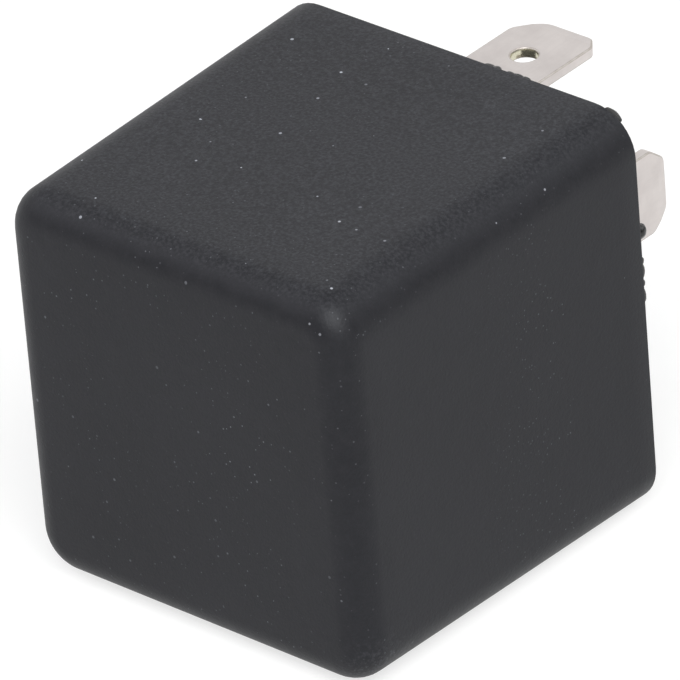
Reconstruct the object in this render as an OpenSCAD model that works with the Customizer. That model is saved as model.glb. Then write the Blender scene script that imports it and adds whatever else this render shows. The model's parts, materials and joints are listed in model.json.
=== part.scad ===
// Changeover relay with push-on blade terminals, sealed in a moulded cover.
// Frame: +Y runs out of the mouth along the blades, +X is right and +Z is up.
// The relay lies on its -Z wall, and the origin is the middle of its footprint.
// Inside the modules, levels are counted from the centre of the cover's mouth.

/* [Cover] */
// Width of the cover across its mouth
cover_w = 30; // [28:0.5:36]
// Height of the cover across its mouth
cover_h = 30.2; // [29:0.1:36]
// Length of the cover from the closed end to the mouth
cover_l = 29.4; // [28:0.2:40]
// Wall thickness of the cover
cover_wall = 1.2; // [0.9:0.1:1.6]
// Wall thickness round the mouth, where the base sits in a step
mouth_wall = 0.8; // [0.6:0.1:1]
// Moulding draft of each side wall, in degrees
cover_draft = 0.88; // [0:0.02:1.2]
// Radius of the four long edges
long_edge_r = 3.2; // [2.2:0.1:4]
// Radius of the edges round the closed end
end_edge_r = 2.4; // [1.8:0.1:3]

/* [Base and sealing compound] */
// Thickness of the base plate
base_t = 3; // [2.4:0.1:4]
// Depth of the base plate's outer face below the rim
base_recess = 1.5; // [1:0.1:2]
// Depth of the compound's surface below the rim
compound_dip = 0.3; // [0.1:0.05:0.6]
// How far the bead of compound stands above the rim
bead_proud = 0.25; // [0.15:0.05:0.4]
// Diameter of the drop of compound that set on the rim
drop_d = 1.1; // [0.6:0.1:1.3]
// How far that drop stands above the rim
drop_h = 1; // [0.5:0.1:1.2]

/* [Terminals] */
// Width of a blade
blade_w = 6.3; // [6.2:0.05:6.4]
// Thickness of a blade and of its strip
blade_t = 0.8; // [0.7:0.05:0.9]
// Length of a blade past the rim
blade_l = 11.1; // [9:0.1:13]
// Diameter of the locking hole in a blade
lock_hole_d = 1.9; // [1.6:0.05:2]
// Distance of the locking hole from the blade's tip
lock_hole_back = 4.4; // [3.4:0.1:4.6]
// How far the tip of terminal 87 was sheared off its middle
tip_skew = 0.35; // [0:0.05:0.5]
// Distance of the coil terminals from the centre line
coil_pin_x = 7.6; // [7.6:0.1:8.4]
// Height of the coil terminals and of terminal 87a
coil_pin_z = 2.3; // [1.9:0.1:2.6]
// Height of terminal 87
no_pin_z = 11.3; // [11.1:0.1:11.5]
// Height of terminal 30
common_pin_z = -7.7; // [-8:0.1:-7.4]
// Width of the strips inside the cover
strip_w = 2.4; // [2:0.1:2.6]

/* [Magnet] */
// Diameter of the core
core_d = 6.4; // [5.4:0.2:7]
// Diameter of the pole head
pole_d = 10; // [9:0.2:10.4]
// Gap between the bobbin's flanges and the yoke
flange_gap = 0.4; // [0.3:0.05:0.7]
// Thickness of the yoke
yoke_t = 1.6; // [1.3:0.1:1.7]
// Width of the yoke
yoke_w = 13.6; // [12.8:0.2:13.8]
// Width of the bobbin's flanges
flange_w = 14; // [13.4:0.1:14.2]
// Thickness of the bobbin's flanges
flange_t = 1; // [0.7:0.1:1.3]
// Diameter of the winding
winding_d = 12.8; // [11.4:0.2:13]
// Distance between the ridges of the winding
winding_pitch = 0.5; // [0.4:0.05:0.8]

/* [Armature and contacts] */
// Thickness of the armature
armature_t = 1.6; // [1.2:0.1:1.8]
// Thickness of the contact leaf
leaf_t = 0.3; // [0.2:0.05:0.4]
// Width of the contact leaf at its contact
leaf_w = 5.4; // [4.6:0.2:6]
// Height of the contacts
contact_z = 8.8; // [8.7:0.1:8.9]
// Diameter of a contact's head
contact_d = 3.2; // [2.6:0.1:3.4]
// Height of a contact's head
contact_h = 0.55; // [0.45:0.05:0.65]
// Travel of the moving contact between the fixed ones
contact_travel = 0.9; // [0.6:0.05:1]
// Outside diameter of the return spring
spring_d = 2.2; // [1.8:0.1:2.3]
// Wire diameter of the return spring
spring_wire = 0.35; // [0.25:0.05:0.4]
// Turns of the return spring
spring_turns = 12; // [8:1:14]
// Diameter of the copper braid
braid_d = 1.2; // [0.9:0.1:1.4]

/* [Hidden] */
$fn = 64;
hull_fn = 48;

// Clearances
slip = 0.03;      // between pieces that are pushed together
seat_gap = 0.1;   // between the base and the strips that lie on it
touch = 0.02;     // between faces that close on each other
eps = 0.01;       // overlap of cuts

// Levels along Y, from the mouth inwards
base_out = -base_recess;
base_in = base_out - base_t;
foot_y = base_in - seat_gap - blade_t/2;
yoke_stand = 1.5;
yoke_out = base_in - yoke_stand;
yoke_in = yoke_out - yoke_t;
cavity_end = -(cover_l - cover_wall);
end_gap = 0.5;
nc_arm_y = cavity_end + end_gap + blade_t/2;
nc_face = nc_arm_y + blade_t/2 + contact_h;

// The pivot is the outer edge of the yoke's end
spring_gap = 0.3;
cavity_h = cover_h/2 - cover_l*tan(cover_draft) - cover_wall;
spring_z = -cavity_h + spring_gap + spring_d/2;
pivot_z = spring_z + spring_d/2 + spring_gap;
yoke_mid_z = pivot_z + yoke_t/2;
coil_z = pivot_z + yoke_t + flange_gap + flange_w/2;
contact_arm = contact_z - pivot_z;
open_angle = asin(contact_travel/contact_arm);

// Levels of the moving pieces with the armature closed on the pole
leaf_out = nc_face + touch + contact_travel + contact_h;
leaf_in = leaf_out + leaf_t;
armature_in = leaf_in + armature_t;
pole_y = armature_in + touch;
pivot_y = pole_y;
no_face = leaf_in + contact_h + touch;
no_arm_y = no_face + contact_h + blade_t/2;

// Pieces of the magnet
pole_t = 1.2;
flange_top = pole_y + pole_t;
bobbin_wall = 0.9;
spigot_d = core_d*0.75;
rivet_h = 0.4;

// Armature outline
horn_w = 1.6;
horn_h = 1.2;
armature_w = yoke_w - 0.6;
armature_top = coil_z + pole_d/2 + 0.7;
tail_w = 3.2;
tail_end = spring_z - 0.9;
leaf_rivet_x = 3;
leaf_rivet_z = pivot_z + yoke_t + 1.5;
rivet_d = 1.6;

// ---------- helpers ----------

function arc(cx, cy, r, a0, a1, n) =
    [for (i = [0:n]) let (a = a0 + (a1 - a0)*i/n) [cx + r*cos(a), cy + r*sin(a)]];

function unit(v) = v/norm(v);

// Offset corner of a bent strip: the arc on one side (s = 1 or -1) of a bend
function bend_side(p0, p1, p2, half, r, s, n) =
    let (
        u = unit(p1 - p0),
        v = unit(p2 - p1),
        turn = sign(u[0]*v[1] - u[1]*v[0]),
        c = p1 - u*r + turn*r*[-u[1], u[0]],
        a0 = atan2(u[1], u[0]) - turn*90,
        rr = r - turn*s*half
    )
    [for (i = [0:n]) let (a = a0 + turn*90*i/n) c + rr*[cos(a), sin(a)]];

function end_side(p0, p1, at, half, s) =
    let (u = unit(p1 - p0)) [at + s*half*[-u[1], u[0]]];

function strip_side(path, half, r, s, n) = concat(
    end_side(path[0], path[1], path[0], half, s),
    [for (i = [1:len(path) - 2])
        each bend_side(path[i - 1], path[i], path[i + 1], half, r, s, n)],
    end_side(path[len(path) - 2], path[len(path) - 1], path[len(path) - 1], half, s));

// Corner at b, between a and c, rounded to radius r
function rounded_corner(a, b, c, r, n = 4) =
    let (
        u = unit(a - b),
        v = unit(c - b),
        half = acos(u*v)/2,
        middle = b + unit(u + v)*r/sin(half),
        start = b + u*r/tan(half) - middle,
        a0 = atan2(start[1], start[0]),
        turn = (180 - 2*half)*sign(u[1]*v[0] - u[0]*v[1])
    ) arc(middle[0], middle[1], r, a0, a0 + turn, n);

function reversed(list) = [for (i = [len(list) - 1:-1:0]) list[i]];

// Section of a strip folded at right angles along a centre line
module folded_section(path, t, r) {
    bend_steps = 6;
    polygon(concat(
        strip_side(path, t/2, r, 1, bend_steps),
        reversed(strip_side(path, t/2, r, -1, bend_steps))));
}

module rounded_rect(w, h, r) {
    square([w - 2*r, h], center = true);
    square([w, h - 2*r], center = true);
    for (sx = [-1, 1], sz = [-1, 1])
        translate([sx*(w/2 - r), sz*(h/2 - r)]) circle(r);
}

// Sets the middle of the footprint at the origin
module in_frame() {
    translate([0, (cover_l - blade_l)/2, cover_h/2]) children();
}

// Extrudes an XZ outline from level y towards the closed end
module plate(y, t) {
    translate([0, y, 0]) rotate([90, 0, 0]) linear_extrude(t) children();
}

// Extrudes a YZ outline over a width centred on X
module across(w) {
    rotate([90, 0, 90]) translate([0, 0, -w/2]) linear_extrude(w) children();
}

// Revolves a profile about a line along Y; its heights run to the closed end
module turned(y, z, x = 0) {
    translate([x, y, z]) rotate([90, 0, 0]) rotate_extrude() children();
}

module bar_y(d, y0, y1, z, x = 0) {
    translate([x, y1, z]) rotate([90, 0, 0]) cylinder(d = d, h = y1 - y0);
}

// Turns the moving pieces back from the closed pose to the open one
module opened() {
    translate([0, pivot_y, pivot_z]) rotate([open_angle, 0, 0])
        translate([0, -pivot_y, -pivot_z]) children();
}

// Rings of a tube along a path, with frames carried from ring to ring
function tangent(p, i) = unit(p[min(i + 1, len(p) - 1)] - p[max(i - 1, 0)]);

function carried(p, i, n) = let (t = tangent(p, i)) unit(n - (n*t)*t);

function normals(p, i, n, done) =
    i == len(p) ? done
    : let (m = carried(p, i, n)) normals(p, i + 1, m, concat(done, [m]));

module tube(path, d, start_normal, sides = 6) {
    n = normals(path, 0, start_normal, []);
    rings = [for (i = [0:len(path) - 1])
        let (t = tangent(path, i), b = cross(t, n[i]))
        for (k = [0:sides - 1])
            path[i] + d/2*(cos(360*k/sides)*n[i] + sin(360*k/sides)*b)];
    last = (len(path) - 1)*sides;
    faces = concat(
        [[for (k = [0:sides - 1]) k]],
        [for (i = [0:len(path) - 2], k = [0:sides - 1])
            let (m = (k + 1)%sides)
            [i*sides + k, (i + 1)*sides + k, (i + 1)*sides + m, i*sides + m]],
        [[for (k = [sides - 1:-1:0]) last + k]]);
    polyhedron(rings, faces, convexity = 10);
}

// ---------- cover, base and compound ----------

// Corner of the moulding: a disc with one rounded rim, facing the closed end
module corner_disc(r_long, r_end) {
    h = r_end + 0.5;
    rotate([90, 0, 0]) rotate_extrude()
        polygon(concat([[0, 0], [r_long, 0]],
            arc(r_long - r_end, h - r_end, r_end, 0, 90, hull_fn/4),
            [[0, h]]));
}

// Drafted box with its closed end at end_y; inset moves every wall inwards
module moulding(inset, end_y, mouth_y) {
    r_long = long_edge_r - inset;
    r_end = end_edge_r - inset;
    function grown(y) = y*tan(cover_draft) - inset - r_long;
    hull()
        for (sx = [-1, 1], sz = [-1, 1]) {
            translate([sx*(cover_w/2 + grown(end_y)), end_y + r_end + 0.5,
                    sz*(cover_h/2 + grown(end_y))])
                corner_disc(r_long, r_end, $fn = hull_fn);
            translate([sx*(cover_w/2 + grown(mouth_y)), mouth_y,
                    sz*(cover_h/2 + grown(mouth_y))])
                rotate([90, 0, 0]) cylinder(r = r_long, h = 0.1, $fn = hull_fn);
        }
}

module mouth_outline(gap) {
    inset = mouth_wall + gap;
    rounded_rect(cover_w - 2*inset, cover_h - 2*inset, long_edge_r - inset);
}

module cover() {
    in_frame() color([0.1, 0.1, 0.11])
    difference() {
        moulding(0, -cover_l, 0);
        moulding(cover_wall, cavity_end, 1);
        plate(1, 1 - base_in) mouth_outline(0);
    }
}

// Slots for the five blades, cut from level y inwards
module blade_slots(y, depth, gap) {
    w = blade_w + 2*gap;
    t = blade_t + 2*gap;
    plate(y, depth) {
        for (z = [no_pin_z, coil_pin_z]) translate([0, z]) square([w, t], center = true);
        translate([0, common_pin_z]) square([t, w], center = true);
        for (s = [-1, 1]) translate([s*coil_pin_x, coil_pin_z]) square([t, w], center = true);
    }
}

// The rails stand on the base and grip the yoke's ears
rail_z = common_pin_z + blade_w/2 - 0.8;
rail_h = 4;
rail_w = 2;
ear_w = 1.6;
rail_x = yoke_w/2 + 0.6;
rail_lip = 1.2;

module rail(side) {
    top = yoke_in - touch - rail_lip;
    translate([side*(rail_x + rail_w/2), 0, rail_z])
        difference() {
            plate(base_in + eps, base_in + eps - top) square([rail_w, rail_h], center = true);
            plate(yoke_out + touch, yoke_t + 2*touch)
                translate([-side*rail_w/4 - side*0.2, 0])
                    square([rail_w/2 + 0.9, rail_h + 1], center = true);
        }
}

// Rib behind the strip of terminal 87
rib_t = 1.1;
rib_l = 8;

module base() {
    in_frame() color([0.16, 0.16, 0.17])
    difference() {
        union() {
            plate(base_out, base_t) mouth_outline(slip);
            for (s = [-1, 1]) rail(s);
            plate(base_in + eps, rib_l)
                translate([0, no_pin_z - blade_t/2 - slip - rib_t/2])
                    square([blade_w, rib_t], center = true);
        }
        blade_slots(base_out + 1, base_t + 2, slip);
    }
}

// Ragged edge of the compound: a slow swell, a ripple, and two thicker lumps
function rag(a) = 0.10*sin(3*a + 40) + 0.07*sin(11*a) + 0.05*sin(29*a + 60);
function lump(a, at, width) = exp(-pow((a - at)/width, 2));
function bead_reach(a) = 0.36 + rag(a) + 0.2*lump(a, 76, 5) + 0.2*lump(a, 45, 3)
    + 0.22*lump(a, 9, 5);

// Point of a rounded rectangle on the ray at angle a
function outline_at(w, h, r, a) =
    let (
        c = [cos(a), sin(a)],
        side = min(w/2/max(abs(c[0]), eps), h/2/max(abs(c[1]), eps)),
        p = side*c,
        k = [w/2 - r, h/2 - r]
    )
    (abs(p[0]) <= k[0] || abs(p[1]) <= k[1]) ? p
    : let (
        q = [abs(c[0])*k[0] + abs(c[1])*k[1], k[0]*k[0] + k[1]*k[1] - r*r],
        s = q[0] + sqrt(q[0]*q[0] - q[1])
    ) s*c;

module bead_outline(steps, offset_at = 0) {
    inset = mouth_wall;
    polygon([for (i = [0:steps - 1])
        let (a = 360*i/steps, p = outline_at(cover_w - 2*inset, cover_h - 2*inset,
            long_edge_r - inset, a))
        p + unit(p)*(offset_at == 0 ? bead_reach(a) : -offset_at - rag(a + 17))]);
}

// Drop of compound on the right wall of the mouth, bulging above its foot
module drop() {
    r = drop_d/2;
    mid_y = 0.3*drop_h;
    foot = asin((mid_y - touch)/(drop_h - mid_y));
    steps = 12;
    translate([cover_w/2 - r, 0, coil_pin_z + blade_w/2 + r])
        rotate([-90, 0, 0]) rotate_extrude() polygon(concat([[0, touch]],
            [for (i = [0:steps - 1]) let (a = -foot + (90 + foot)*i/steps)
                [r*cos(a), mid_y + (drop_h - mid_y)*sin(a)]],
            [[0, drop_h]]));
}

module sealing_compound() {
    bead_steps = 180;
    bead_inner = 1.1;
    in_frame() color([0.07, 0.07, 0.07])
    difference() {
        union() {
            plate(-compound_dip, base_recess - compound_dip - touch) mouth_outline(slip);
            difference() {
                union() {
                    plate(bead_proud, bead_proud - touch) bead_outline(bead_steps);
                    plate(touch + eps, compound_dip + touch + 2*eps) mouth_outline(slip);
                }
                plate(bead_proud + 1, bead_proud + compound_dip + 1)
                    bead_outline(bead_steps, bead_inner);
            }
            drop();
        }
        blade_slots(1, base_recess + 2, touch);
    }
}

// ---------- terminals ----------

tip_taper = 0.9;
tip_t = 0.45;
tip_side = 1.25;
tip_slope = 1.26;
tip_round = 0.8;

// Outline of a blade, its tip's corners cut and then rounded
function blade_outline(y0, y1, w, left, right) =
    let (
        p = [[w, y0], [w, y1 - right*tip_slope], [w - right, y1],
            [left - w, y1], [-w, y1 - left*tip_slope], [-w, y0]]
    ) concat([p[0]],
        [for (i = [1:4]) each rounded_corner(p[i - 1], p[i], p[i + 1],
            tip_round*(i < 3 ? right : left)/tip_side)],
        [p[5]]);

// Blade along +Y from level y0 to its tip, lying flat in XY
module blade(y0, skew = 0) {
    y1 = blade_l;
    w = blade_w/2;
    difference() {
        intersection() {
            translate([0, 0, -blade_t])
                linear_extrude(2*blade_t)
                    polygon(blade_outline(y0, y1, w, tip_side + skew, tip_side - skew));
            across(blade_w + 2)
                polygon([[y0, -blade_t/2], [y1 - tip_taper, -blade_t/2], [y1, -tip_t/2],
                    [y1, tip_t/2], [y1 - tip_taper, blade_t/2], [y0, blade_t/2]]);
        }
        translate([0, y1 - lock_hole_back, -blade_t]) cylinder(d = lock_hole_d, h = 2*blade_t);
    }
}

module upright() {
    rotate([0, 90, 0]) children();
}

bend_r = blade_t/2 + 0.1;
no_strip_w = 5;
common_strip_z = common_pin_z - blade_w/2 + 0.25 + strip_w/2;
strip_x = rail_x + rail_w + 1;
nc_strip_z = contact_z - contact_d/2 - 0.3 + strip_w/2;
common_top = pole_y + 4;

module terminal_87() {
    in_frame() color([0.78, 0.76, 0.72])
    difference() {
        union() {
            translate([0, 0, no_pin_z]) blade(base_in, tip_skew);
            across(no_strip_w)
                folded_section([[base_out, no_pin_z], [no_arm_y, no_pin_z],
                    [no_arm_y, contact_z - contact_d/2 - 0.3]], blade_t, bend_r);
        }
        bar_y(contact_shank_d + 2*touch, no_arm_y - 2, no_arm_y + 2, contact_z);
    }
}

module terminal_87a() {
    arm_h = contact_d + 0.6;
    in_frame() color([0.78, 0.76, 0.72])
    difference() {
        union() {
            translate([0, 0, coil_pin_z]) blade(base_in);
            across(blade_w)
                folded_section([[base_out, coil_pin_z], [foot_y, coil_pin_z],
                    [foot_y, nc_strip_z + strip_w/2]], blade_t, bend_r);
            translate([0, 0, nc_strip_z - strip_w/2]) linear_extrude(strip_w)
                folded_section([[blade_w/4, foot_y], [strip_x, foot_y],
                    [strip_x, nc_arm_y], [-contact_d/2 - 0.6, nc_arm_y]], blade_t, bend_r);
            plate(nc_arm_y + blade_t/2, blade_t)
                translate([-contact_d/2 - 0.6, contact_z - arm_h/2])
                    square([strip_x, arm_h]);
        }
        bar_y(contact_shank_d + 2*touch, nc_arm_y - 2, nc_arm_y + 2, contact_z);
    }
}

module terminal_30() {
    in_frame() color([0.78, 0.76, 0.72]) {
        translate([0, 0, common_pin_z]) upright() blade(base_in);
        translate([0, 0, common_strip_z - strip_w/2]) linear_extrude(strip_w)
            folded_section([[0, base_out], [0, foot_y], [-strip_x, foot_y],
                [-strip_x, common_top]], blade_t, bend_r);
    }
}

// The coil's wire ends are wound on the narrow pegs of these two
peg_w = 1.2;
peg_end = yoke_in - flange_t - 2.2;
shank_w = 2.9;

module coil_terminal(side) {
    in_frame() color([0.78, 0.76, 0.72])
    translate([side*coil_pin_x, 0, coil_pin_z]) {
        upright() blade(base_in);
        plate(base_out, base_out - yoke_in) square([blade_t, shank_w], center = true);
        plate(base_out, base_out - peg_end) square([blade_t, peg_w], center = true);
    }
}

module terminal_85() { coil_terminal(-1); }
module terminal_86() { coil_terminal(1); }

// ---------- magnet ----------

module yoke() {
    anchor_y = spring_anchor_y;
    in_frame() color([0.55, 0.56, 0.58])
    difference() {
        union() {
            across(yoke_w)
                folded_section([[pole_y, yoke_mid_z], [yoke_out - yoke_t/2, yoke_mid_z],
                    [yoke_out - yoke_t/2, coil_z + pole_d/2]], yoke_t, yoke_t/2 + 0.4);
            for (s = [-1, 1]) {
                plate(pole_y + 1, 1 + horn_h)
                    translate([s*(yoke_w - horn_w)/2, yoke_mid_z])
                        square([horn_w, yoke_t], center = true);
                plate(yoke_out, yoke_t)
                    translate([s*(yoke_w/2 + ear_w/2 - 0.1), rail_z])
                        square([ear_w + 0.2, rail_h - 1], center = true);
            }
            plate(anchor_y, anchor_t)
                translate([0, (pivot_z + tail_end)/2 + 0.1])
                    square([tail_w, pivot_z - tail_end + 0.2], center = true);
        }
        bar_y(spigot_d + 2*touch, yoke_in - 1, yoke_out + 1, coil_z);
        bar_y(hook_hole_d, anchor_y - anchor_t - 1, anchor_y + 1, spring_z);
    }
}

module core() {
    spigot_l = yoke_t + rivet_h;
    in_frame() color([0.6, 0.61, 0.63])
    turned(yoke_out + rivet_h, coil_z)
        polygon([[0, 0], [spigot_d/2 + 0.5, 0], [spigot_d/2 + 0.6, rivet_h - touch],
            [spigot_d/2, rivet_h - touch], [spigot_d/2, spigot_l + touch],
            [core_d/2, spigot_l + touch],
            [core_d/2, yoke_out + rivet_h - flange_top - touch],
            [pole_d/2, yoke_out + rivet_h - flange_top - touch],
            [pole_d/2, yoke_out + rivet_h - pole_y - 0.2],
            [pole_d/2 - 0.2, yoke_out + rivet_h - pole_y],
            [0, yoke_out + rivet_h - pole_y]]);
}

flange_notch = 1.6;

module bobbin() {
    bore = core_d + 2*slip;
    in_frame() color([0.92, 0.9, 0.84])
    difference() {
        union() {
            for (y = [yoke_in - touch, flange_top + flange_t + touch])
                plate(y, flange_t) translate([0, coil_z])
                    rounded_rect(flange_w, flange_w, 1.2);
            bar_y(bore + 2*bobbin_wall, flange_top + touch, yoke_in - touch, coil_z);
        }
        bar_y(bore, flange_top - 1, yoke_in + 1, coil_z);
        for (s = [-1, 1])
            translate([s*flange_w/2, 0, 0])
                plate(yoke_in + 1, flange_t + 1 + touch + eps)
                    translate([0, coil_pin_z]) square([flange_notch, flange_notch], center = true);
    }
}

// Winding: a ridged spool of wire whose ends run out to the two pegs
winding_y0 = yoke_in - flange_t - 3*touch;
winding_l = winding_y0 - (flange_top + flange_t) - 3*touch;
ridge_count = floor(winding_l/winding_pitch);
ridge = winding_l/ridge_count;
lead_d = 0.3;
wrap_r = norm([peg_w, blade_t])/2 + lead_d/2 + touch;
wrap_count = 4;

module wire_wraps(side) {
    for (i = [0:wrap_count - 1])
        turned(peg_end + 1.6 - i*lead_d*0.95, coil_pin_z, side*coil_pin_x)
            translate([wrap_r, 0]) circle(d = lead_d, $fn = 24);
    lead_z = coil_pin_z - wrap_r;
    buried = pow(0.45*winding_d, 2) - pow(lead_z - coil_z, 2);
    lead_x = buried > 0 ? sqrt(buried) : 0;
    translate([side*lead_x, peg_end + 1, lead_z])
        rotate([0, side*90, 0])
            cylinder(d = lead_d, h = coil_pin_x - lead_x, $fn = 24);
}

module winding() {
    inner = core_d/2 + slip + bobbin_wall + touch;
    in_frame() color([0.72, 0.38, 0.2]) {
        turned(winding_y0, coil_z)
            polygon(concat([[inner, 0]],
                [for (i = [0:ridge_count - 1]) each [
                    [winding_d/2 - ridge*0.25, i*ridge],
                    [winding_d/2, (i + 0.3)*ridge],
                    [winding_d/2, (i + 0.7)*ridge]]],
                [[winding_d/2 - ridge*0.25, winding_l], [inner, winding_l]]));
        for (s = [-1, 1]) wire_wraps(s);
    }
}

// ---------- armature, contacts and springs ----------

contact_shank_d = 1.8;

// Rivet contact: a flat tail, a shank through a sheet, and a domed head
module contact_profile(sheet, tail_r, tail_h) {
    rim = contact_h*0.45;
    r = contact_d/2;
    head = tail_h + sheet + touch;
    polygon(concat(
        [[0, 0], [tail_r, 0], [tail_r, tail_h], [contact_shank_d/2, tail_h],
            [contact_shank_d/2, head], [r, head], [r, head + rim]],
        [for (i = [1:6]) let (a = 90*i/6)
            [r*cos(a), head + rim + (contact_h - rim)*sin(a)]]));
}

module fixed_contact_no() {
    tail_h = 0.3;
    in_frame() color([0.9, 0.9, 0.88])
    turned(no_arm_y + blade_t/2 + tail_h, contact_z)
        contact_profile(blade_t, contact_shank_d/2 + 0.35, tail_h - touch);
}

module fixed_contact_nc() {
    tail_h = 0.3;
    in_frame() color([0.9, 0.9, 0.88])
    translate([0, nc_arm_y - blade_t/2 - tail_h, contact_z])
        rotate([-90, 0, 0]) rotate_extrude()
            contact_profile(blade_t, contact_shank_d/2 + 0.35, tail_h - touch);
}

// The moving contact has a domed head on each side of the leaf
module moving_contact() {
    r = contact_d/2;
    rim = contact_h*0.45;
    dome = [for (i = [1:6]) let (a = 90*i/6)
        [r*cos(a), leaf_t/2 + rim + (contact_h - rim)*sin(a)]];
    side = concat([[contact_shank_d/2, leaf_t/2], [r, leaf_t/2], [r, leaf_t/2 + rim]], dome);
    in_frame() color([0.9, 0.9, 0.88])
    opened()
        turned((leaf_in + leaf_out)/2, contact_z)
            polygon(concat([for (p = reversed(side)) [p[0], -p[1]]], side));
}

module contact_leaf() {
    root_w = 2*(leaf_rivet_x + 2);
    root_z = pivot_z + yoke_t + 0.2;
    neck_z = armature_top + 0.8;
    end_z = contact_z + contact_d/2 + 0.4;
    in_frame() color([0.8, 0.56, 0.3])
    opened()
        difference() {
            plate(leaf_in - touch, leaf_t - 2*touch)
                polygon([[-root_w/2, root_z], [root_w/2, root_z], [root_w/2, leaf_rivet_z + 2.4],
                    [leaf_w/2, neck_z], [leaf_w/2, end_z - 1], [leaf_w/2 - 1, end_z],
                    [-leaf_w/2 + 1, end_z], [-leaf_w/2, end_z - 1], [-leaf_w/2, neck_z],
                    [-root_w/2, leaf_rivet_z + 2.4]]);
            bar_y(contact_shank_d + 2*touch, leaf_out - 1, leaf_in + 1, contact_z);
            for (s = [-1, 1])
                bar_y(rivet_d + 2*touch, leaf_out - 1, leaf_in + 1, leaf_rivet_z, s*leaf_rivet_x);
        }
}

module leaf_rivet(side) {
    head_h = 0.4;
    full_l = 2*head_h + armature_t + leaf_t;
    in_frame() color([0.66, 0.66, 0.66])
    opened()
        turned(armature_in + head_h, leaf_rivet_z, side*leaf_rivet_x)
            polygon([[0, 0], [rivet_d/2 + 0.2, 0], [rivet_d/2 + 0.45, head_h - touch],
                [rivet_d/2, head_h - touch], [rivet_d/2, full_l - head_h + touch],
                [rivet_d/2 + 0.5, full_l - head_h + touch], [rivet_d/2 + 0.3, full_l],
                [0, full_l]]);
}

module leaf_rivet_left() { leaf_rivet(-1); }
module leaf_rivet_right() { leaf_rivet(1); }

hook_hole_d = 1;
anchor_t = 1;
spring_anchor_y = (pole_y + yoke_out)/2 + 2;

module armature() {
    shoulder_z = pivot_z + yoke_t + 0.1;
    foot_w = yoke_w - 2*horn_w - 0.3;
    in_frame() color([0.55, 0.56, 0.58])
    opened()
        difference() {
            plate(armature_in, armature_t) {
                translate([-armature_w/2, shoulder_z])
                    square([armature_w, armature_top - shoulder_z]);
                translate([-foot_w/2, pivot_z]) square([foot_w, yoke_t + 0.5]);
                translate([-tail_w/2, tail_end]) square([tail_w, pivot_z - tail_end + 0.5]);
            }
            bar_y(hook_hole_d, leaf_out - 1, armature_in + 1, spring_z);
            for (s = [-1, 1])
                bar_y(rivet_d + 2*touch, leaf_out - 1, armature_in + 1, leaf_rivet_z,
                    s*leaf_rivet_x);
        }
}

// Return spring: hooks through the armature's tail and the yoke's anchor
hook_l = 1.7;
spring_from = armature_in + hook_l;
spring_to = spring_anchor_y - anchor_t - hook_l;

function bezier(p, t) =
    pow(1 - t, 3)*p[0] + 3*pow(1 - t, 2)*t*p[1] + 3*(1 - t)*t*t*p[2] + t*t*t*p[3];

function helix_point(t) =
    let (r = (spring_d - spring_wire)/2, a = 360*t)
    [r*sin(a), spring_from + (spring_to - spring_from)*t/spring_turns,
        spring_z + r*cos(a)];

// Curve from the coil's end at turn t to the centre line, dir -1 or 1 along Y
function coil_exit(t, dir, steps) =
    let (
        r = (spring_d - spring_wire)/2,
        p = helix_point(t),
        along = dir*[cos(360*t), 0, -sin(360*t)],
        q = [0, p[1] + dir*(hook_l - 0.45), spring_z]
    )
    [for (i = [1:steps]) bezier(
        [p, p + 0.75*r*along + [0, dir*0.1, 0], q - [0, dir*0.8, 0], q], i/steps)];

module return_spring() {
    steps = 12;
    hook = 0.75;
    front = leaf_in - 0.35;
    back = spring_anchor_y + 0.35;
    path = concat(
        [[0, front, spring_z + hook], [0, front, spring_z + spring_wire],
            [0, front + spring_wire/2, spring_z + 0.1], [0, front + spring_wire, spring_z]],
        reversed(coil_exit(0, -1, 8)),
        [for (i = [0:steps*spring_turns]) helix_point(i/steps)],
        coil_exit(spring_turns, 1, 8),
        [[0, back - spring_wire, spring_z], [0, back - spring_wire/2, spring_z + 0.1],
            [0, back, spring_z + spring_wire], [0, back, spring_z + hook]]);
    in_frame() color([0.7, 0.7, 0.72]) tube(path, spring_wire, [1, 0, 0]);
}

// Braid from the strip of terminal 30 to the root of the contact leaf
module braid() {
    weld_l = 2.5;      // length that lies along each weld
    lie = 0.05;        // gap to the sheet that it is welded to
    slack = 6;         // how far the loop runs on past the strip
    weld_x = strip_x - blade_t/2 - braid_d/2 - lie;
    land_x = leaf_rivet_x + rivet_d/2 + lie;
    land_y = leaf_out - contact_travel/4 - braid_d/2 - lie;
    land_z = leaf_rivet_z + rivet_d/2 + 0.5 + braid_d/2 + lie + 0.3;
    start = [-weld_x, common_top + weld_l, common_strip_z];
    rise = [-weld_x, common_top, common_strip_z];
    land = [-land_x, land_y, land_z];
    path = concat([start],
        [for (i = [0:20])
            bezier([rise, rise - [0, slack, 0], land - [0.8*slack, 0, 0], land], i/20)],
        [land + [weld_l, 0, 0]]);
    in_frame() color([0.74, 0.42, 0.24]) tube(path, braid_d, [0, 0, 1], 8);
}

// ---------- nodes ----------

cover();
base();
sealing_compound();
terminal_30();
terminal_85();
terminal_86();
terminal_87();
terminal_87a();
yoke();
core();
bobbin();
winding();
armature();
contact_leaf();
moving_contact();
leaf_rivet_left();
leaf_rivet_right();
fixed_contact_no();
fixed_contact_nc();
return_spring();
braid();
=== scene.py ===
import json
import math
import bpy
import bmesh
from mathutils import Matrix, Vector, noise


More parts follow.
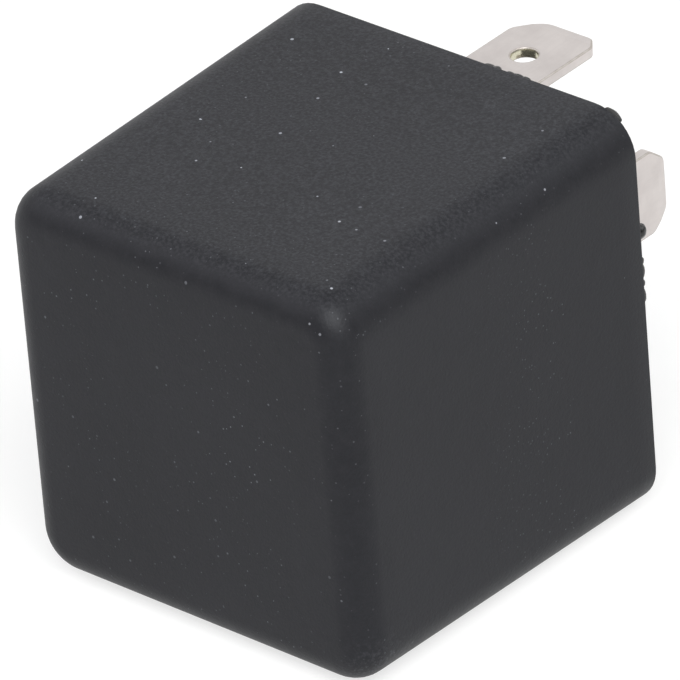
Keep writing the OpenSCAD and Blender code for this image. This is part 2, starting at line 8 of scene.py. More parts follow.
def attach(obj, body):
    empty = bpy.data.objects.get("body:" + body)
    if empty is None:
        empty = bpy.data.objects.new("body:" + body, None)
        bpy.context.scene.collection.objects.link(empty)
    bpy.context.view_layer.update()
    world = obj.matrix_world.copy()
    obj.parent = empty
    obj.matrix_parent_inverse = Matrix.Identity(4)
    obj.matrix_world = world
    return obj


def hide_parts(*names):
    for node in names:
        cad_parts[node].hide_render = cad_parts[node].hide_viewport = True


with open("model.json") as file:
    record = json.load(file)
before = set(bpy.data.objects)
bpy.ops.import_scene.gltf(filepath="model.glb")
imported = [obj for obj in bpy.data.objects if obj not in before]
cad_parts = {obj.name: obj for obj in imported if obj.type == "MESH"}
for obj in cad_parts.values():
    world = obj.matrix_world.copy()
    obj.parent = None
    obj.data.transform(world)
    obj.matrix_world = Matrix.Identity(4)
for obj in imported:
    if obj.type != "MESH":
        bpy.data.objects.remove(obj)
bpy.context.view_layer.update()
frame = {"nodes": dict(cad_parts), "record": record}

MM = 0.001

# Sizes are in millimetres, in the row frame, where nothing else is said. The cover
MOUTH_Y = 9.15
END_Y = MOUTH_Y - 29.4
MID_Z = 15.1
COVER_W = 30.0
COVER_H = 30.2
DRAFT = math.tan(math.radians(0.88))
LONG_R = 3.2
END_R = 2.4
WALL = 1.2
MOUTH_WALL = 0.8
STEP_DEPTH = 4.5
RIM_R = 0.15
LIP_R = 0.1

# The set compound, and its outline's points along a side and round a corner
COMPOUND_DIP = 0.3
COMPOUND_DEEP = 1.48
BEAD_SIDE = 150
BEAD_CORNER = 30
MIDDLE_STEPS = 56

# Ragged places of its bead: angle round the mouth, half width in degrees, strength
RAGGED = ((76, 6, 1.0), (9, 6, 1.0), (45, 4, 0.7), (118, 9, 0.5))
RAGGED_HIDDEN = ((-60, 12, 0.7), (165, 10, 0.8), (-128, 8, 0.5))

# Its section from the tucked lip over the crest (share of reach, share of height), then
# down to the flat middle (distance inwards, share of height or of the dip)
LIP = ((0.98, -0.03), (1.0, 0.0), (0.97, 0.45), (0.85, 0.80), (0.62, 1.0), (0.35, 1.0), (0.08, 0.85))
SLOPE = ((-0.12, 0.25), (-0.3, -0.05), (-0.5, -0.38), (-0.75, -0.68), (-1.05, -0.88), (-1.4, -0.97),
         (-1.8, -1.0))

# Crumbs of it on the rim: place along the wall, half length, height
UPPER_CRUMBS = ((2.7, 0.60, 0.42), (3.3, 0.42, 0.47), (4.5, 0.45, 0.38), (5.1, 0.62, 0.45),
                (5.8, 0.42, 0.41))
RIGHT_CRUMBS = ((4.0, 0.34, 0.30), (3.2, 0.60, 0.35), (2.3, 0.30, 0.28), (1.3, 0.62, 0.33))

# A drop of it on the right wall: centre and half sizes
DROP_AT = (COVER_W / 2 - 0.56, MOUTH_Y + 0.30, MID_Z + 6.0)
DROP_REACH = (0.50, 0.64, 0.55)

# A sliver pressed out over the corner: lumps, first angle and step in degrees
SLIVER_LUMPS = 11
SLIVER_START = 52
SLIVER_STEP = 2.1

# Rings of a lump's mesh, and points round each
DROP_MESH = (18, 28)
CRUMB_MESH = (10, 16)

# Blades as X, height above the middle, and the axis that each is thin along
BLADES = ((0.0, -7.7, "X"), (-7.6, 2.3, "X"), (7.6, 2.3, "X"), (0.0, 2.3, "Z"), (0.0, 11.3, "Z"))
BLADE_NODES = ("terminal_30", "terminal_85", "terminal_86", "terminal_87", "terminal_87a")
BLADE_L = 11.1
BLADE_HALF_W = 3.15
BLADE_HALF_T = 0.4
BLADE_EDGE = 0.11

# Locking holes: place along the blades, and how far from its centre a hole's wall lies
HOLE_Y = MOUTH_Y + BLADE_L - 4.4
HOLE_WALL = (1.00, 1.03)

# Rubbed places on the cover and a painted highlight on its near corner's top, then places with more
# grit: centre, reach, strength
RUBS_AND_CORNER_HIGHLIGHT = (((6.5, 5.0, 30.2), 1.6, 0.09), ((14.0, -18.5, 1.5), 4.0, 0.14),
          ((13.0, -18.5, 28.4), 1.4, 0.03))
GRITTY = (((15.0, 0.8, 9.6), 5.0, 0.13), ((5.2, -20.1, 16.4), 6.0, 0.25),
          ((-9.0, -20.1, 24.0), 6.0, 0.16))

# Camera: azimuth, elevation and roll in degrees, aim, shift right and up, distance, lens
CAMERA_ANGLES = (42.75, 31.24, -4.78)
CAMERA_AIM = (0, END_Y + 13.93, MID_Z)
CAMERA_SHIFT = (1.233, 0.715)
CAMERA_FAR = 674.0
CAMERA_LENS = 544.2

# Room: strength and colour of its light. Mirrored rays meet a white backdrop in one
# direction and a dim room elsewhere
ROOM = 0.10
ROOM_COLOUR = (0.91, 0.97, 1.0)
BACKDROP_DIR = (-0.67, 0.72, 0.17)
DIM = 0.22

# Floor: how far it is lifted to white, and half its side in metres
FLOOR_LIFT = 0.68
FLOOR_HALF = 1.2

# Lamps: name, direction, distance and size in metres, power in watts, colour
LAMPS = (
    ("front_left", (-0.58, -0.52, 0.60), 0.75, 0.60, 2.10, (0.98, 0.97, 1.0)),
    ("back_right", (0.52, 0.63, 0.58), 0.75, 0.56, 1.60, (0.97, 0.98, 1.0)),
    ("corner", (0.52, -0.48, 0.70), 0.75, 0.56, 7.00, (1.0, 1.0, 0.98)),
)
LAMP_AIM = (0, 0, 0.012)


# ---------------------------------------------------------------- node helpers

class Nodes:
    """Short calls for the usual nodes of a tree."""

    def __init__(self, owner):
        owner.use_nodes = True
        self.tree = owner.node_tree
        self.tree.nodes.clear()

    def node(self, kind, **props):
        made = self.tree.nodes.new(kind)
        for key, value in props.items():
            setattr(made, key, value)
        return made

    def link(self, a, b):
        self.tree.links.new(a, b)

    def put(self, socket, value):
        if isinstance(value, bpy.types.NodeSocket):
            self.link(value, socket)
        elif isinstance(value, (tuple, list)) and len(value) == 3 and socket.type == "RGBA":
            socket.default_value = (*value, 1.0)
        else:
            socket.default_value = value

    def set(self, **values):
        for key, value in values.items():
            self.put(self.shader.inputs[key.replace("_", " ")], value)

    def noise(self, scale, detail=3.0, rough=0.5, vector=None):
        made = self.node("ShaderNodeTexNoise")
        self.put(made.inputs["Vector"], vector or self.coord)
        made.inputs["Scale"].default_value = scale
        made.inputs["Detail"].default_value = detail
        made.inputs["Roughness"].default_value = rough
        return made.outputs["Fac"]

    def voronoi(self, scale, out="Distance"):
        made = self.node("ShaderNodeTexVoronoi")
        self.link(self.coord, made.inputs["Vector"])
        made.inputs["Scale"].default_value = scale
        return made.outputs[out]

    def math(self, op, a, b):
        made = self.node("ShaderNodeMath", operation=op)
        self.put(made.inputs[0], a)
        self.put(made.inputs[1], b)
        return made.outputs[0]

    def remap(self, value, a, b, c, d, smooth=False):
        """The range a to b turned into c to d."""
        made = self.node("ShaderNodeMapRange")
        if smooth:
            made.interpolation_type = "SMOOTHSTEP"
        for socket, item in zip(made.inputs[:5], (value, a, b, c, d)):
            self.put(socket, item)
        return made.outputs[0]

    def mix(self, factor, a, b):
        made = self.node("ShaderNodeMix", data_type="RGBA")
        self.put(made.inputs["Factor"], factor)
        self.put(made.inputs["A"], a)
        self.put(made.inputs["B"], b)
        return made.outputs["Result"]

    def stretched(self, x, y, z):
        made = self.node("ShaderNodeVectorMath", operation="MULTIPLY")
        self.link(self.coord, made.inputs[0])
        made.inputs[1].default_value = (x, y, z)
        return made.outputs[0]

    def distance_to(self, point):
        """Distance in metres from a point given in millimetres."""
        made = self.node("ShaderNodeVectorMath", operation="DISTANCE")
        self.link(self.coord, made.inputs[0])
        made.inputs[1].default_value = [v * MM for v in point]
        return made.outputs["Value"]

    def bump(self, height, distance, strength):
        """Distance is in metres."""
        made = self.node("ShaderNodeBump")
        made.inputs["Strength"].default_value = strength
        made.inputs["Distance"].default_value = distance
        self.link(height, made.inputs["Height"])
        return made.outputs[0]

    def glow(self, colour, strength):
        made = self.node("ShaderNodeBackground")
        self.put(made.inputs[0], colour)
        self.put(made.inputs[1], strength)
        return made.outputs[0]

    def mix_shader(self, factor, a, b):
        made = self.node("ShaderNodeMixShader")
        for socket, item in zip(made.inputs, (factor, a, b)):
            self.put(socket, item)
        return made.outputs[0]

    def rays(self):
        """1 for camera rays, and 1 for those that mirror or pass on a background."""
        path = self.node("ShaderNodeLightPath").outputs
        passed = self.math("MAXIMUM", path["Is Glossy Ray"], path["Is Transmission Ray"])
        return path["Is Camera Ray"], passed


class Mat(Nodes):
    """A material built round one Principled shader."""

    def __init__(self, name):
        self.mat = bpy.data.materials.new(name)
        super().__init__(self.mat)
        out = self.node("ShaderNodeOutputMaterial")
        self.shader = self.node("ShaderNodeBsdfPrincipled")
        self.link(self.shader.outputs[0], out.inputs[0])
        self.coord = self.node("ShaderNodeTexCoord").outputs["Object"]


# ------------------------------------------------------------------- materials

def cover_plastic():
    """Black moulded plastic: fine spark-eroded grain, dust specks, faint smears, a painted corner
    highlight.
    """
    m = Mat("cover_plastic")
    up = m.node("ShaderNodeSeparateXYZ")
    m.link(m.node("ShaderNodeTexCoord").outputs["Normal"], up.inputs[0])
    up = m.remap(up.outputs["Z"], 0.2, 0.95, 0.0, 1.0)
    cloud = m.noise(85, 3.0)
    mottle = m.noise(900, 4.0, 0.65)
    grain = m.noise(5600, 3.0, 0.75)
    darker = (0.0090, 0.0092, 0.0114)
    lighter = (0.0121, 0.0124, 0.0151)
    tone = m.mix(m.remap(cloud, 0.35, 0.65, 0, 1), darker, lighter)
    tone = m.mix(m.remap(mottle, 0.3, 0.7, 0.0, 0.30), tone, (0.036, 0.035, 0.040))
    tone = m.mix(m.remap(grain, 0.32, 0.68, 0.0, 0.45), tone, (0.006, 0.006, 0.007))

    # Dust: one cell in a few holds a pale speck of its own size; most lies on top
    specks = 1250
    cell = m.voronoi(specks)
    pick = m.node("ShaderNodeSeparateColor")
    m.link(m.voronoi(specks, "Color"), pick.inputs[0])
    size = m.remap(pick.outputs[0], 0.60, 1.0, 0.0, 0.17)
    speck = m.remap(cell, m.math("MULTIPLY", size, 0.7), size, 1.0, 0.0)
    shade = m.math("MULTIPLY", m.math("POWER", pick.outputs[1], 2.0), m.remap(up, 0, 1, 0.22, 1.0))
    dust_and_highlight = m.math("MULTIPLY", speck, shade)

    # Finer grit everywhere, and a film of it on the upper wall
    grains = 2900
    cells = m.node("ShaderNodeSeparateColor")
    m.link(m.voronoi(grains, "Color"), cells.inputs[0])
    grit_size = m.remap(cells.outputs[0], 0.5, 1.0, 0.0, 0.20)
    grit = m.math("LESS_THAN", m.voronoi(grains), grit_size)
    patch = m.remap(m.noise(140, 3.0), 0.38, 0.68, 0.015, 0.12)
    dust_and_highlight = m.math("MAXIMUM", dust_and_highlight, m.math("MULTIPLY", grit, patch))
    film = m.remap(m.noise(4300, 3.0, 0.7), 0.42, 0.74, 0.0, 0.052)
    dust_and_highlight = m.math("MAXIMUM", dust_and_highlight, m.math("MULTIPLY", film, m.remap(up, 0.55, 1.0, 0.0, 1.0)))

    # Rubbed places on the upper wall by the mouth and at the near corner's foot, and a painted
    # highlight on the near corner's top
    rub_and_highlight_mask = m.remap(m.noise(3000, 4.0, 0.75), 0.48, 0.78, 0.0, 1.0)
    for point, reach, amount in RUBS_AND_CORNER_HIGHLIGHT:
        near_it = m.remap(m.distance_to(point), 0.0, reach * MM, amount, 0.0, True)
        dust_and_highlight = m.math("MAXIMUM", dust_and_highlight, m.math("MULTIPLY", near_it, rub_and_highlight_mask))

    # Grit lies closer together in three places on the walls
    for point, reach, amount in GRITTY:
        near_it = m.remap(m.distance_to(point), 0.0, reach * MM, amount, 0.0, True)
        dust_and_highlight = m.math("MAXIMUM", dust_and_highlight, m.math("MULTIPLY", near_it, grit))

    # Pale dust, rubbed places and the painted corner highlight, laid over the plastic's tone
    dust_and_highlight_tone = (0.57, 0.59, 0.66)
    colour = m.mix(dust_and_highlight, tone, dust_and_highlight_tone)
    height = m.math("ADD", m.noise(4200, 3.0, 0.7), m.math("MULTIPLY", m.noise(700, 2.0), 0.8))
    rough = m.remap(mottle, 0.3, 0.7, 0.45, 0.53)
    m.set(Base_Color=colour, Roughness=rough, IOR=1.5, Normal=m.bump(height, 0.000022, 0.9))
    m.shader.inputs["Specular IOR Level"].default_value = 0.26
    m.shader.inputs["Specular Tint"].default_value = (0.91, 0.935, 1.0, 1)
    return m.mat


def sealing_resin():
    """Set black compound: glossier than the cover, with a skin and small pits."""
    m = Mat("sealing_resin")
    cloud = m.noise(300, 3.0)
    colour = m.mix(m.remap(cloud, 0.35, 0.65, 0, 1), (0.006, 0.006, 0.006), (0.016, 0.015, 0.014))
    pits = m.remap(m.voronoi(1500), 0.0, 0.22, -1.0, 0.0)
    height = m.math("ADD", m.noise(420, 4.0, 0.6), m.math("MULTIPLY", pits, 0.25))
    m.set(Base_Color=colour, Roughness=m.remap(cloud, 0.3, 0.7, 0.22, 0.42),
          Normal=m.bump(height, 0.00012, 0.6))
    return m.mat


def tinned_brass():
    """Tin plating on rolled strip: pale, satin, with bare brass in the punched holes."""
    m = Mat("tinned_brass")
    cloud = m.noise(420, 3.0, 0.6)
    lines = m.noise(1.0, 3.0, 0.6, m.stretched(5200, 500, 5200))
    colour = m.mix(m.remap(cloud, 0.35, 0.65, 0, 1), (0.62, 0.575, 0.558), (0.70, 0.655, 0.635))
    colour = m.mix(m.remap(lines, 0.4, 0.75, 0.0, 0.16), colour, (0.52, 0.48, 0.465))
    rough = m.remap(cloud, 0.3, 0.7, 0.40, 0.50)
    bare_brass = (0.60, 0.58, 0.43)
    inner, outer = (reach * MM for reach in HOLE_WALL)
    for x, z, _ in BLADES:
        wall = m.remap(m.distance_to((x, HOLE_Y, z + MID_Z)), inner, outer, 1.0, 0.0)
        colour = m.mix(m.math("MULTIPLY", wall, 0.85), colour, bare_brass)
        rough = m.math("MULTIPLY", rough, m.remap(wall, 0.0, 1.0, 1.0, 0.4))
    height = m.math("ADD", m.math("MULTIPLY", lines, 0.6), m.noise(2200, 2.0))
    m.set(Base_Color=colour, Metallic=0.9, Roughness=rough,
          Normal=m.bump(height, 0.000010, 0.6))
    return m.mat


def edge_shade_tin():
    """Rounded edges of the blades: tin painted darker, as shade along the bevels."""
    m = Mat("edge_shade_tin")
    patches = m.noise(1600, 4.0, 0.65)
    colour = m.mix(m.remap(patches, 0.35, 0.68, 0, 1), (0.46, 0.42, 0.38), (0.60, 0.56, 0.53))
    m.set(Base_Color=colour, Metallic=0.9, Roughness=m.remap(patches, 0.3, 0.7, 0.45, 0.60),
          Normal=m.bump(m.noise(3500, 2.0), 0.000010, 0.6))
    return m.mat


def bare_metal(name, colour, rough, across):
    """Bare or plated metal, with fine lines that lie as the three scales say."""
    m = Mat(name)
    cloud = m.noise(500, 3.0)
    lines = m.noise(1.0, 3.0, 0.6, m.stretched(*across))
    dark = tuple(0.6 * v for v in colour)
    tone = m.mix(m.remap(lines, 0.35, 0.75, 0.0, 0.55), colour, dark)
    bright = tuple(min(1, 1.25 * v) for v in colour)
    tone = m.mix(m.remap(cloud, 0.45, 0.7, 0.0, 0.25), tone, bright)
    m.set(Base_Color=tone, Metallic=1.0, Roughness=m.remap(cloud, 0.3, 0.7, rough, rough + 0.14),
          Normal=m.bump(lines, 0.000008, 0.6))
    return m.mat


def moulded(name, colour, other, rough):
    """Moulded plastic, clouded between two colours, with a fine grain."""
    m = Mat(name)
    cloud = m.noise(250, 3.0)
    tone = m.mix(m.remap(cloud, 0.35, 0.65, 0, 1), colour, other)
    m.set(Base_Color=tone, Roughness=m.remap(cloud, 0.3, 0.7, rough, rough + 0.12),
          Normal=m.bump(m.noise(2200, 3.0), 0.000012, 0.7))
    return m.mat


def enamelled_copper():
    """Copper wire under a clear coat of enamel."""
    m = Mat("enamelled_copper")
    tone = m.mix(m.noise(700, 3.0), (0.42, 0.12, 0.035), (0.60, 0.23, 0.08))
    m.set(Base_Color=tone, Metallic=0.85, Roughness=m.remap(m.noise(1500), 0.3, 0.7, 0.22, 0.34),
          Coat_Weight=0.5, Normal=m.bump(m.noise(1800, 2.0), 0.000008, 0.5))
    m.shader.inputs["Coat Roughness"].default_value = 0.15
    return m.mat


def copper_braid():
    """Bare strands plaited round each other."""
    m = Mat("copper_braid")
    a = m.node("ShaderNodeTexWave", bands_direction="DIAGONAL")
    b = m.node("ShaderNodeTexWave", bands_direction="DIAGONAL")
    for wave, turn in ((a, (1, 1, 1)), (b, (-1, 1, -1))):
        m.put(wave.inputs["Vector"], m.stretched(*turn))
        wave.inputs["Scale"].default_value = 900
        wave.inputs["Distortion"].default_value = 0.4
    plait = m.math("MULTIPLY", a.outputs["Fac"], b.outputs["Fac"])
    # The tone follows the plait's height, darker where the strands dip: painted shade in the grooves
    # between them
    tone = m.mix(plait, (0.22, 0.07, 0.03), (0.68, 0.30, 0.15))
    m.set(Base_Color=tone, Metallic=0.9, Roughness=m.remap(plait, 0.0, 1.0, 0.5, 0.3),
          Normal=m.bump(plait, 0.00005, 0.8))
    return m.mat


# -------------------------------------------------------------------- geometry

def add_mesh(name, verts, faces, material, body):
    """A smooth piece from points in millimetres, on its body and with its slot."""
    mesh = bpy.data.meshes.new(name)
    mesh.from_pydata([tuple(c * MM for c in v) for v in verts], [], faces)
    mesh.validate()
    made = bpy.data.objects.new(name, mesh)
    bpy.context.scene.collection.objects.link(made)
    bm = bmesh.new()
    bm.from_mesh(mesh)
    bmesh.ops.remove_doubles(bm, verts=bm.verts, dist=1e-7)
    bmesh.ops.recalc_face_normals(bm, faces=bm.faces)
    bm.to_mesh(mesh)
    bm.free()
    for face in mesh.polygons:
        face.use_smooth = True
    mesh.materials.append(material)
    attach(made, body)
    return made


def rounded_loop(half_w, half_h, radius, side_steps=14, corner_steps=10):
    """Points (x, z) round a rounded rectangle, anticlockwise from the +X side."""
    points = []
    corners = ((1, 1, 0), (-1, 1, 90), (-1, -1, 180), (1, -1, 270))
    for k, (sx, sz, start) in enumerate(corners):
        cx = sx * (half_w - radius)
        cz = sz * (half_h - radius)
        for i in range(corner_steps + 1):
            a = math.radians(start + 90 * i / corner_steps)
            points.append((cx + radius * math.cos(a), cz + radius * math.sin(a)))
        nx, nz, nstart = corners[(k + 1) % 4]
        b = math.radians(nstart)
        to = (nx * (half_w - radius) + radius * math.cos(b),
              nz * (half_h - radius) + radius * math.sin(b))
        here = points[-1]
        for i in range(1, side_steps):
            t = i / side_steps
            points.append((here[0] + (to[0] - here[0]) * t, here[1] + (to[1] - here[1]) * t))
    return points


def wall_profile(inset, end_y, mouth_y, steps=10, lengths=16):
    """Levels of a drafted wall: y, offset from the mouth's side, loss of corner radius."""
    drop = (mouth_y - end_y) * DRAFT
    r = END_R - inset
    cy = end_y + r
    cw = -drop - inset - r
    dy = mouth_y - cy
    dw = -inset - cw
    far = math.hypot(dy, dw)
    touch = math.atan2(dw, dy) + math.acos(r / far)
    levels = []
    for i in range(steps + 1):
        a = math.pi + (touch - math.pi) * i / steps
        levels.append((cy + r * math.cos(a), cw + r * math.sin(a), inset + r * (1 - math.sin(a))))
    y0, w0, _ = levels[-1]
    for i in range(1, lengths + 1):
        t = i / lengths
        levels.append((y0 + (mouth_y - y0) * t, w0 + (-inset - w0) * t, inset))
    return levels


def loop_at(y, offset, shrink):
    """The cover's outline at y, offset outwards, its corner radius less by shrink."""
    radius = max(LONG_R - shrink, 0.05)
    ring = rounded_loop(COVER_W / 2 + offset, COVER_H / 2 + offset, radius)
    return [(x, y, z + MID_Z) for x, z in ring]


def skin(loops, rings):
    """Quads between loops, with the first and last loop filled to their centres."""
    verts = [p for loop in loops for p in loop]
    n = len(loops[0])
    faces = []
    for i in range(len(loops) - 1):
        for k in range(n):
            m = (k + 1) % n
            faces.append((i * n + k, i * n + m, (i + 1) * n + m, (i + 1) * n + k))
    for base, loop in ((0, loops[0]), ((len(loops) - 1) * n, loops[-1])):
        centre = Vector([sum(p[axis] for p in loop) for axis in range(3)]) / n
        before = base
        for j in range(1, rings):
            start = len(verts)
            verts += [tuple(Vector(p).lerp(centre, j / rings)) for p in loop]
            for k in range(n):
                m = (k + 1) % n
                faces.append((before + k, before + m, start + m, start + k))
            before = start
        verts.append(tuple(centre))
        for k in range(n):
            faces.append((before + k, before + (k + 1) % n, len(verts) - 1))
    return verts, faces


def cover_piece(material):
    """The moulded cover: outer wall, rounded rim, step at the mouth and cavity."""
    outer = wall_profile(0.0, END_Y, MOUTH_Y - RIM_R)
    loops = [loop_at(y, w, s) for y, w, s in outer]
    for i in range(1, 5):
        a = math.radians(90 * i / 4)
        inward = RIM_R * (1 - math.cos(a))
        loops.append(loop_at(MOUTH_Y - RIM_R + RIM_R * math.sin(a), -inward, inward))
    for i in range(4):
        a = math.radians(90 * i / 3)
        inward = MOUTH_WALL - LIP_R + LIP_R * math.sin(a)
        loops.append(loop_at(MOUTH_Y - LIP_R + LIP_R * math.cos(a), -inward, inward))
    step_y = MOUTH_Y - STEP_DEPTH
    loops.append(loop_at(step_y, -MOUTH_WALL, MOUTH_WALL))
    inner = [v for v in wall_profile(WALL, END_Y + WALL, MOUTH_Y, 6, 8) if v[0] < step_y]
    loops += [loop_at(y, w, s) for y, w, s in reversed(inner)]
    verts, faces = skin(loops, 5)
    made = add_mesh("cover_shell", verts, faces, material, "relay")
    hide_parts("cover")


def wobble(x, z, scale, seed):
    """Smooth noise over the mouth, about -1 to 1; the seed picks its layer."""
    return noise.noise(Vector((x * scale, z * scale, seed)))


def climb_at_blades(x, z):
    """How far the compound climbed up the blade nearest to a point."""
    high = 0.0
    for bx, bz, thin in BLADES:
        hx, hz = BLADE_HALF_W, BLADE_HALF_T
        if thin == "X":
            hx, hz = hz, hx
        gap = math.hypot(max(abs(x - bx) - hx, 0), max(abs(z - bz) - hz, 0))
        high = max(high, (0.26 + 0.10 * wobble(x, z, 0.9, 5.0)) * math.exp(-gap / 0.30))
    return high


def near(value, at, width):
    """1 at a value, and falling to 0 within about twice the width."""
    return math.exp(-((value - at) / width) ** 2)


def bead_shape(x, z):
    """Reach over the rim and height above it, at a place on the mouth's wall."""
    turn = math.degrees(math.atan2(z, x))
    ragged = sum(amount * near(turn, at, width) for at, width, amount in RAGGED + RAGGED_HIDDEN)
    slow = wobble(x, z, 0.33, 1.0)
    quick = wobble(x, z, 1.7, 2.0)
    fine = wobble(x, z, 4.2, 3.0)
    reach = 0.34 + 0.16 * slow + 0.10 * quick + 0.05 * fine + 0.20 * ragged
    high = 0.05 + 0.03 * slow + 0.03 * quick + ragged * (0.09 + 0.10 * quick + 0.07 * fine)
    return min(max(reach, 0.12), 0.76), max(high, 0.015)


def compound_piece(material):
    """Set compound: flat middle, climbed up at blades and walls, ragged bead."""
    half_w = COVER_W / 2 - MOUTH_WALL
    half_h = COVER_H / 2 - MOUTH_WALL
    radius = LONG_R - MOUTH_WALL
    base = rounded_loop(half_w, half_h, radius, BEAD_SIDE, BEAD_CORNER)
    loops = []
    outward = []
    for x, z in base:
        cx = max(-half_w + radius, min(half_w - radius, x))
        cz = max(-half_h + radius, min(half_h - radius, z))
        d = Vector((x - cx, z - cz))
        outward.append(d.normalized() if d.length > 1e-6 else Vector((0, 1)))
    shape = [bead_shape(x, z) for x, z in base]

    # Up inside the mouth from the underside to the rim
    for inset, level in ((0.60, -COMPOUND_DEEP), (0.02, -COMPOUND_DEEP), (0.02, -0.05)):
        loops.append([(x - out.x * inset, MOUTH_Y + level, z - out.y * inset + MID_Z)
                      for (x, z), out in zip(base, outward)])

    # From the tucked outer lip, over the crest, down to the flat middle
    for part, rise in LIP:
        ring = []
        for (x, z), out, (reach, high) in zip(base, outward, shape):
            u = reach * part
            ring.append((x + out.x * u, MOUTH_Y + high * rise, z + out.y * u + MID_Z))
        loops.append(ring)
    for u, level in SLOPE:
        ring = []
        for (x, z), out, (reach, high) in zip(base, outward, shape):
            lift = high * max(level, 0) + COMPOUND_DIP * min(level, 0)
            lift += 0.02 * wobble(x, z, 1.1, 7.0)
            ring.append((x + out.x * u, MOUTH_Y + lift, z + out.y * u + MID_Z))
        loops.append(ring)
    last = loops[-1]
    for i in range(1, MIDDLE_STEPS):
        t = i / MIDDLE_STEPS
        ring = []
        for x, _, z in last:
            px, pz = x * (1 - t), (z - MID_Z) * (1 - t)
            ripple = min(1.0, 4 * t) * 0.035 * wobble(px, pz, 0.35, 9.0)
            level = MOUTH_Y - COMPOUND_DIP + ripple + climb_at_blades(px, pz)
            ring.append((px, level, pz + MID_Z))
        loops.append(ring)
    verts, faces = skin(loops, 2)
    made = add_mesh("set_compound", verts, faces, material, "relay")
    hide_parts("sealing_compound")


def lump(verts, faces, centre, reach, rings, around):
    """Adds one closed, slightly uneven rounded lump to a mesh's lists."""
    first = len(verts)
    for i in range(rings + 1):
        a = math.pi * i / rings
        for k in range(around):
            b = 2 * math.pi * k / around
            d = Vector((math.sin(a) * math.cos(b), math.cos(a), math.sin(a) * math.sin(b)))
            r = 1.0 + 0.10 * noise.noise(d * 1.7 + centre)
            out = Vector((d.x * reach[0], d.y * reach[1], d.z * reach[2]))
            verts.append(tuple(centre + out * r))
    for i in range(rings):
        for k in range(around):
            m = (k + 1) % around
            low, high = first + i * around, first + (i + 1) * around
            faces.append((low + k, low + m, high + m, high + k))


def compound_drips(material):
    """A drop on the mouth's right wall, crumbs on two rims, a sliver at the corner."""
    verts, faces = [], []
    lump(verts, faces, Vector(DROP_AT), DROP_REACH, *DROP_MESH)

    for x, half, high in UPPER_CRUMBS:
        at = Vector((x, MOUTH_Y - 0.02, MID_Z + COVER_H / 2 - 0.33))
        lump(verts, faces, at, (half, high, 0.28), *CRUMB_MESH)
    for z, half, high in RIGHT_CRUMBS:
        at = Vector((COVER_W / 2 - 0.30, MOUTH_Y - 0.02, MID_Z + z))
        lump(verts, faces, at, (0.26, high, half), *CRUMB_MESH)

    # The sliver, highest in its middle
    for i in range(SLIVER_LUMPS):
        a = math.radians(SLIVER_START + SLIVER_STEP * i)
        r = LONG_R - 0.17
        x = COVER_W / 2 - LONG_R + r * math.cos(a)
        z = MID_Z + COVER_H / 2 - LONG_R + r * math.sin(a)
        bulge = math.sin(math.pi * (i + 0.5) / SLIVER_LUMPS)
        reach = (0.16, 0.26 + 0.16 * bulge, 0.16)
        lump(verts, faces, Vector((x, MOUTH_Y, z)), reach, *CRUMB_MESH)
    add_mesh("compound_drips", verts, faces, material, "relay")


def soften(obj, width, edge_material):
    """Rounds a CAD node's hard edges with modifiers, its mesh left as it is.

    The frame's meshes are split along their edges and cut into triangles, so they are
    joined and their flat faces merged before the bevel.
    """
    weld = obj.modifiers.new("weld", "WELD")
    weld.merge_threshold = 0.002 * MM
    flat = obj.modifiers.new("flat", "DECIMATE")
    flat.decimate_type = "DISSOLVE"
    flat.angle_limit = math.radians(0.5)
    bevel = obj.modifiers.new("edge", "BEVEL")
    bevel.width = width * MM
    bevel.segments = 3
    bevel.limit_method = "ANGLE"
    bevel.angle_limit = math.radians(38)
    bevel.use_clamp_overlap = False
    bevel.loop_slide = False
    # The bevel's faces take the second slot, a darker tin that paints shade along the edges
    obj.data.materials.append(edge_material)
    bevel.material = 1


# --------------------------------------------------------------- camera, lights

def place_camera():
    """A long lens at the photo's angle, turned a little about its own axis."""
    az, el, roll = (math.radians(v) for v in CAMERA_ANGLES)
    back = Vector((math.sin(az) * math.cos(el), -math.cos(az) * math.cos(el), math.sin(el)))
    right = Vector((math.cos(az), math.sin(az), 0))
    up = back.cross(right)
    turned_right = math.cos(roll) * right + math.sin(roll) * up
    turned_up = math.cos(roll) * up - math.sin(roll) * right
    aim = Vector(CAMERA_AIM) + CAMERA_SHIFT[0] * turned_right + CAMERA_SHIFT[1] * turned_up
    data = bpy.data.cameras.new("camera")
    data.sensor_width = 36
    data.lens = CAMERA_LENS
    data.clip_start = 0.05
    data.clip_end = 20
    cam = bpy.data.objects.new("camera", data)
    bpy.context.scene.collection.objects.link(cam)
    turn = Matrix((turned_right, turned_up, back)).transposed().to_4x4()
    cam.matrix_world = Matrix.Translation((aim + CAMERA_FAR * back) * MM) @ turn
    bpy.context.scene.camera = cam


def area(name, at, to, size, power, colour):
    """A square lamp at one point, turned to another."""
    data = bpy.data.lights.new(name, "AREA")
    data.shape = "RECTANGLE"
    data.size = size
    data.size_y = size
    data.energy = power
    data.color = colour
    lamp = bpy.data.objects.new(name, data)
    bpy.context.scene.collection.objects.link(lamp)
    lamp.location = at
    lamp.rotation_euler = (Vector(to) - Vector(at)).to_track_quat("-Z", "Y").to_euler()


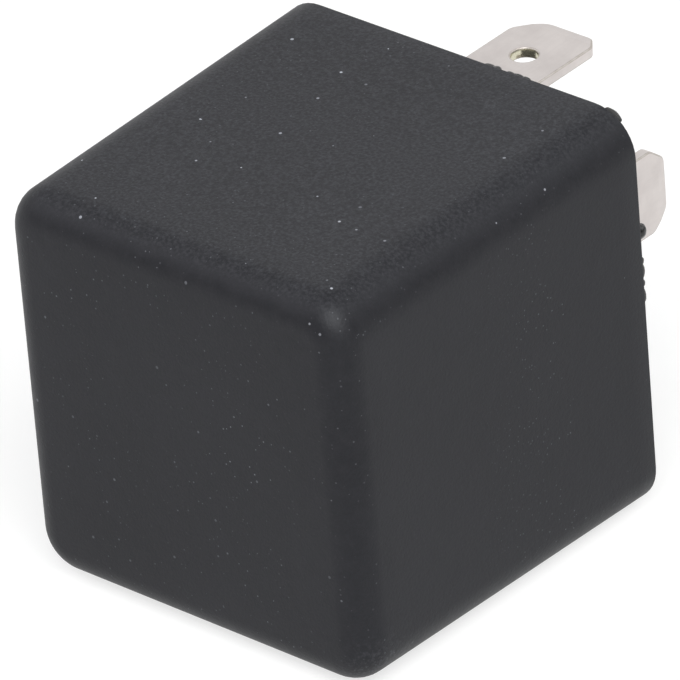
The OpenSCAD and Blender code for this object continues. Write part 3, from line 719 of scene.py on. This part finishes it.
def studio():
    """World, floor and lamps."""
    scene = bpy.context.scene
    scene.view_settings.view_transform = "Standard"
    world = bpy.data.worlds.new("studio")
    scene.world = world
    w = Nodes(world)
    out = w.node("ShaderNodeOutputWorld")
    camera, passed = w.rays()
    room = w.glow(ROOM_COLOUR, ROOM)

    # Mirrored rays meet a white backdrop behind the object and a dim room elsewhere
    towards = w.node("ShaderNodeVectorMath", operation="DOT_PRODUCT")
    w.link(w.node("ShaderNodeTexCoord").outputs["Generated"], towards.inputs[0])
    towards.inputs[1].default_value = BACKDROP_DIR
    backdrop = w.glow((1, 1, 1), w.remap(towards.outputs["Value"], 0.45, 0.75, DIM, 1.0, True))
    white = w.glow((1, 1, 1), 1.0)
    w.link(w.mix_shader(camera, w.mix_shader(passed, room, backdrop), white), out.inputs[0])

    # Floor: paper that keeps the shadow; seen or mirrored, it is lifted to white
    m = Mat("white_paper")
    paper = m.mix(m.noise(900, 3.0), (0.34, 0.34, 0.34), (0.38, 0.38, 0.38))
    m.set(Base_Color=paper, Roughness=0.9)
    m.shader.inputs["Emission Color"].default_value = (1, 1, 1, 1)
    camera, passed = m.rays()
    seen = m.math("MAXIMUM", camera, passed)
    m.link(m.math("MULTIPLY", seen, FLOOR_LIFT), m.shader.inputs["Emission Strength"])
    h = FLOOR_HALF
    verts = [(-h, -h, 0), (h, -h, 0), (h, h, 0), (-h, h, 0)]
    mesh = bpy.data.meshes.new("floor")
    mesh.from_pydata(verts, [], [(0, 1, 2, 3)])
    mesh.materials.append(m.mat)
    floor = bpy.data.objects.new("floor", mesh)
    scene.collection.objects.link(floor)

    for name, direction, far, size, power, colour in LAMPS:
        at = Vector(direction).normalized() * far
        area(name, at, LAMP_AIM, size, power, colour)


# ----------------------------------------------------------------------- build

place_camera()

MATS = {
    "cover": cover_plastic(),
    "base": moulded("base_plastic", (0.018, 0.018, 0.019), (0.030, 0.030, 0.031), 0.45),
    "compound": sealing_resin(),
    "terminal": tinned_brass(),
    "iron": bare_metal("zinc_plated_iron", (0.52, 0.53, 0.55), 0.3, (3000, 300, 3000)),
    "bobbin": moulded("nylon", (0.70, 0.67, 0.58), (0.78, 0.75, 0.66), 0.4),
    "wire": enamelled_copper(),
    "leaf": bare_metal("spring_bronze", (0.62, 0.36, 0.15), 0.25, (4000, 4000, 300)),
    "contact": bare_metal("silver_alloy", (0.80, 0.80, 0.77), 0.3, (900, 900, 900)),
    "rivet": bare_metal("rivet_steel", (0.46, 0.46, 0.46), 0.35, (900, 900, 900)),
    "spring": bare_metal("spring_wire", (0.42, 0.42, 0.44), 0.28, (2500, 600, 2500)),
    "braid": copper_braid(),
}

# Darker tin for the blades' bevels: painted shade along their rounded edges
edge_shade_material = edge_shade_tin()

slots = {s["node"]: s["material_slot"] for s in frame["record"]["subparts"]}
for name, slot in slots.items():
    obj = frame["nodes"][name]
    obj.data.materials.clear()
    obj.data.materials.append(MATS[slot])

cover_piece(MATS["cover"])
compound_piece(MATS["compound"])
compound_drips(MATS["compound"])
for name in BLADE_NODES:
    soften(frame["nodes"][name], BLADE_EDGE, edge_shade_material)
studio()
